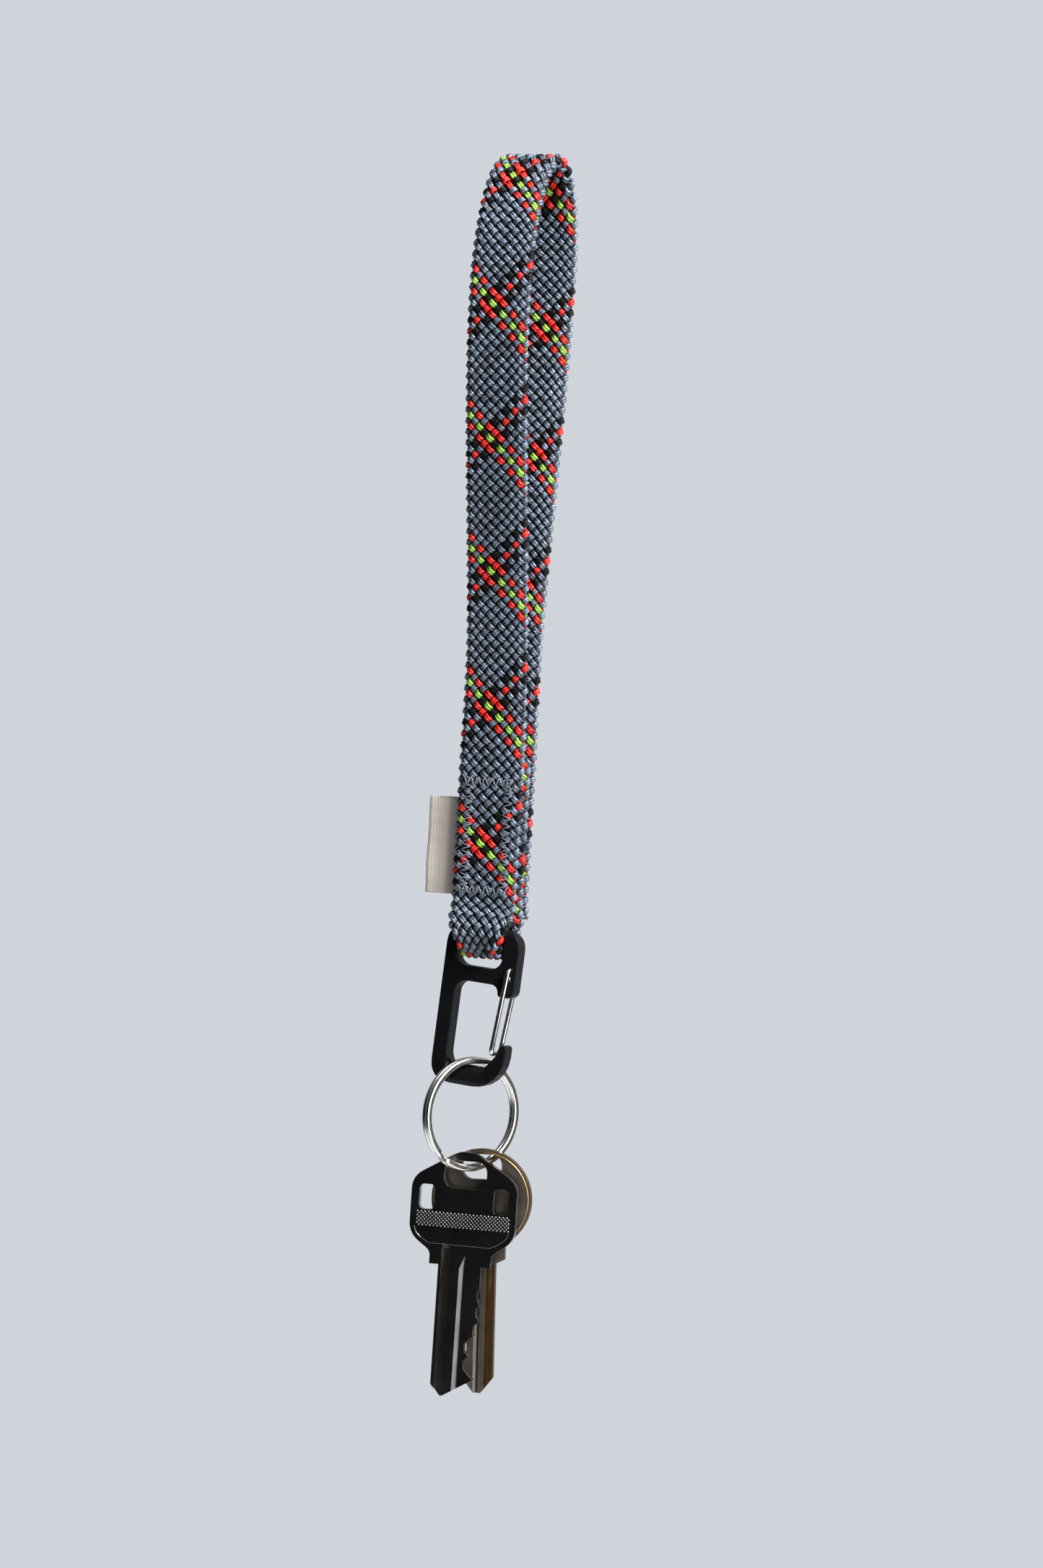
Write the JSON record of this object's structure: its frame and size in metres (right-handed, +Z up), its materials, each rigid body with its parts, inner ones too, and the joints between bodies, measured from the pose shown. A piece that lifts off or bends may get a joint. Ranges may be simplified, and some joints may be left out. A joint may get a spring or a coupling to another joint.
{
  "type": "wristlet keychain",
  "caption": "Hanging wrist strap of flattened braided rope sheath, sewn round a flat black clip with a sprung wire gate, carrying a split ring and keys.",
  "frame": {"origin": "the hang point, on the inside of the wrist loop's top bend, where a hook or hand carries it", "axes": "+Z up along the hanging line, +X along the strap's width to the right as seen from the front, -Y towards the front"},
  "size_m": [0.0277, 0.0286, 0.2756],
  "materials": {
    "braid": "braided polyester, blue grey with red, lime and black strands",
    "label_tape": "cream twill tape",
    "thread": "light grey sewing thread",
    "clip_finish": "satin black",
    "gate_steel": "bright stainless wire",
    "ring_nickel": "nickel plated",
    "house_key_nickel": "polished nickel plate",
    "padlock_key_brass": "worn nickel plate on brass"
  },
  "bodies": {
    "strap": {"strap": "braid", "label": "label_tape", "needle_thread": "thread", "bobbin_thread": "thread"},
    "clip": {"clip_body": "clip_finish"},
    "gate": {"gate_wire": "gate_steel"},
    "ring": {"split_ring": "ring_nickel"},
    "house_key": {"house_key": "house_key_nickel"},
    "padlock_key": {"padlock_key": "padlock_key_brass"}
  },
  "joints": [
    {"name": "clip_swing", "type": "hinge", "parent": "strap", "child": "clip", "pos_m": [0, -0.00193, -0.1702], "axis": [1, 0, 0], "range_deg": [-40, 40]},
    {"name": "gate_open", "type": "hinge", "parent": "clip", "child": "gate", "pos_m": [0.00713, -0.00193, -0.17768], "axis": [0, 1, 0], "range_deg": [0, 25], "stiffness_Nm_per_rad": 0.02, "springref_deg": -11.46},
    {"name": "ring_swing", "type": "hinge", "parent": "clip", "child": "ring", "pos_m": [-0.00088, -0.00193, -0.20178], "axis": [0.9969, 0, -0.0785], "range_deg": [-60, 30]},
    {"name": "house_key_swing", "type": "hinge", "parent": "ring", "child": "house_key", "pos_m": [-0.00098, -0.0021, -0.22219], "axis": [-0.2079, 0.9781, 0], "range_deg": [-15, 15]},
    {"name": "padlock_key_swing", "type": "hinge", "parent": "ring", "child": "padlock_key", "pos_m": [0.00123, 0.00159, -0.22147], "axis": [-0.2079, 0.9781, 0], "range_deg": [-15, 15]}
  ]
}
